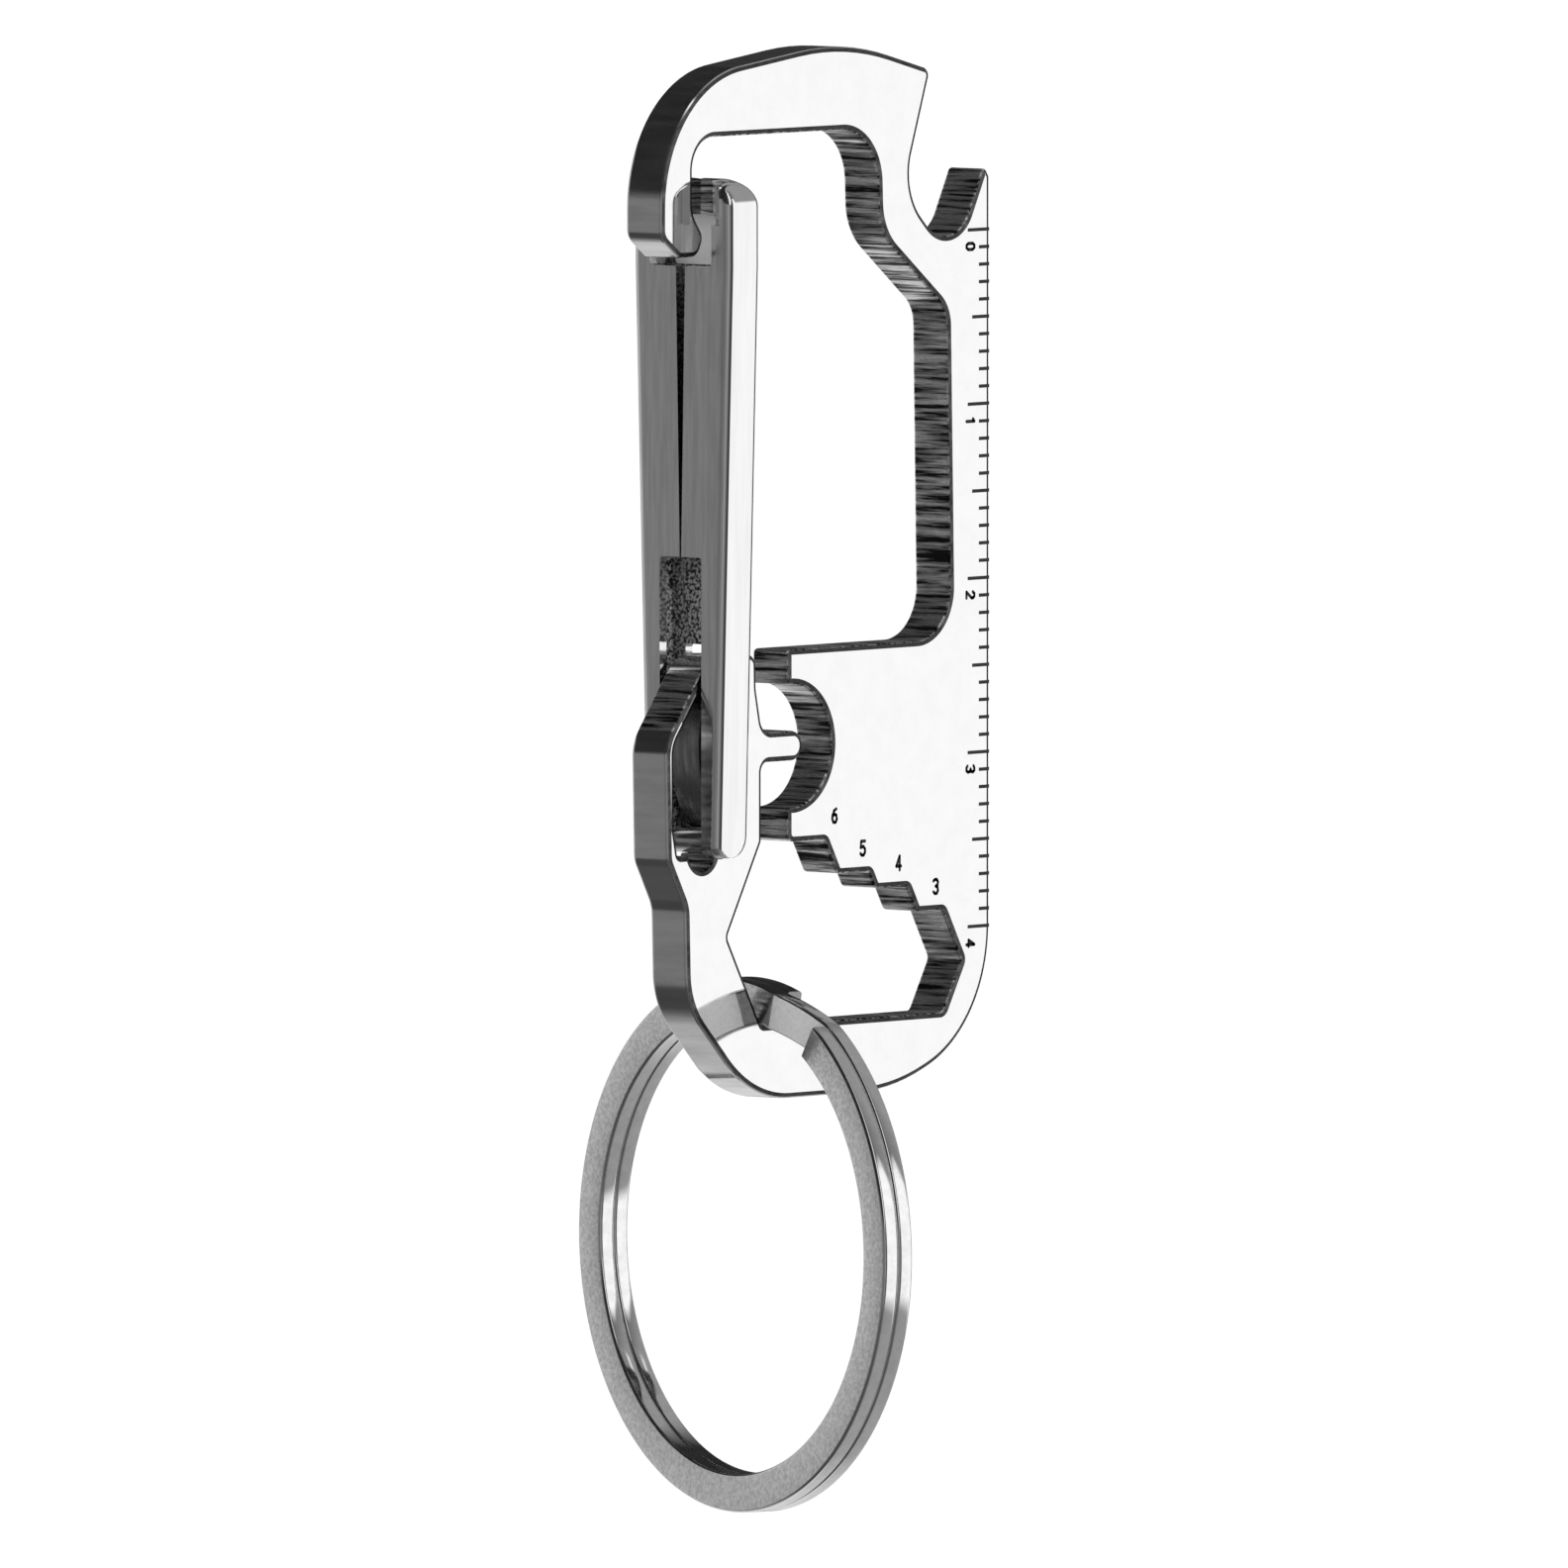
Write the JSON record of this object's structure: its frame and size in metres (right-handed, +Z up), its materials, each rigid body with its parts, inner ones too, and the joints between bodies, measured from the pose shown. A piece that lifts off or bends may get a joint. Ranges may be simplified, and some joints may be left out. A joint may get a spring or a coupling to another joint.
{
  "type": "keychain bottle opener",
  "caption": "Flat steel carabiner tool with bottle opener, ruler edge, stepped wrench opening, sprung folded gate and hanging split ring.",
  "frame": {"origin": "hook seat: middle of the underside of the hook's arch, in the plate's middle plane", "axes": "+Z up from the ring to the hook, +X from the hook's back to the ruler edge, -Y towards the marked face"},
  "size_m": [0.0292, 0.03, 0.0837],
  "materials": {
    "polished_plate": "mirror-polished stainless steel with rough cut edges",
    "gate_sheet": "polished cheeks and satin flanges",
    "pin_steel": "ground",
    "spring_steel": "blued spring steel, satin",
    "ring_wire": "satin faces and polished rims",
    "mark_fill": "matt black fill in engraved lines"
  },
  "bodies": {
    "plate": {"body_plate": "polished_plate", "gate_spring": "spring_steel", "ruler_marks": "mark_fill", "size_marks": "mark_fill"},
    "gate": {"gate": "gate_sheet", "gate_pin": "pin_steel"},
    "ring": {"split_ring": "ring_wire"}
  },
  "joints": [
    {"name": "gate_hinge", "type": "hinge", "parent": "plate", "child": "gate", "pos_m": [-0.0053, 0, -0.04015], "axis": [0, 1, 0], "range_deg": [0, 20], "stiffness_Nm_per_rad": 0.05, "springref_deg": -17.19},
    {"name": "ring_swing", "type": "hinge", "parent": "plate", "child": "ring", "pos_m": [0, 0, -0.05695], "axis": [0.9659, -0.2588, 0], "range_deg": [-90, 80]}
  ]
}
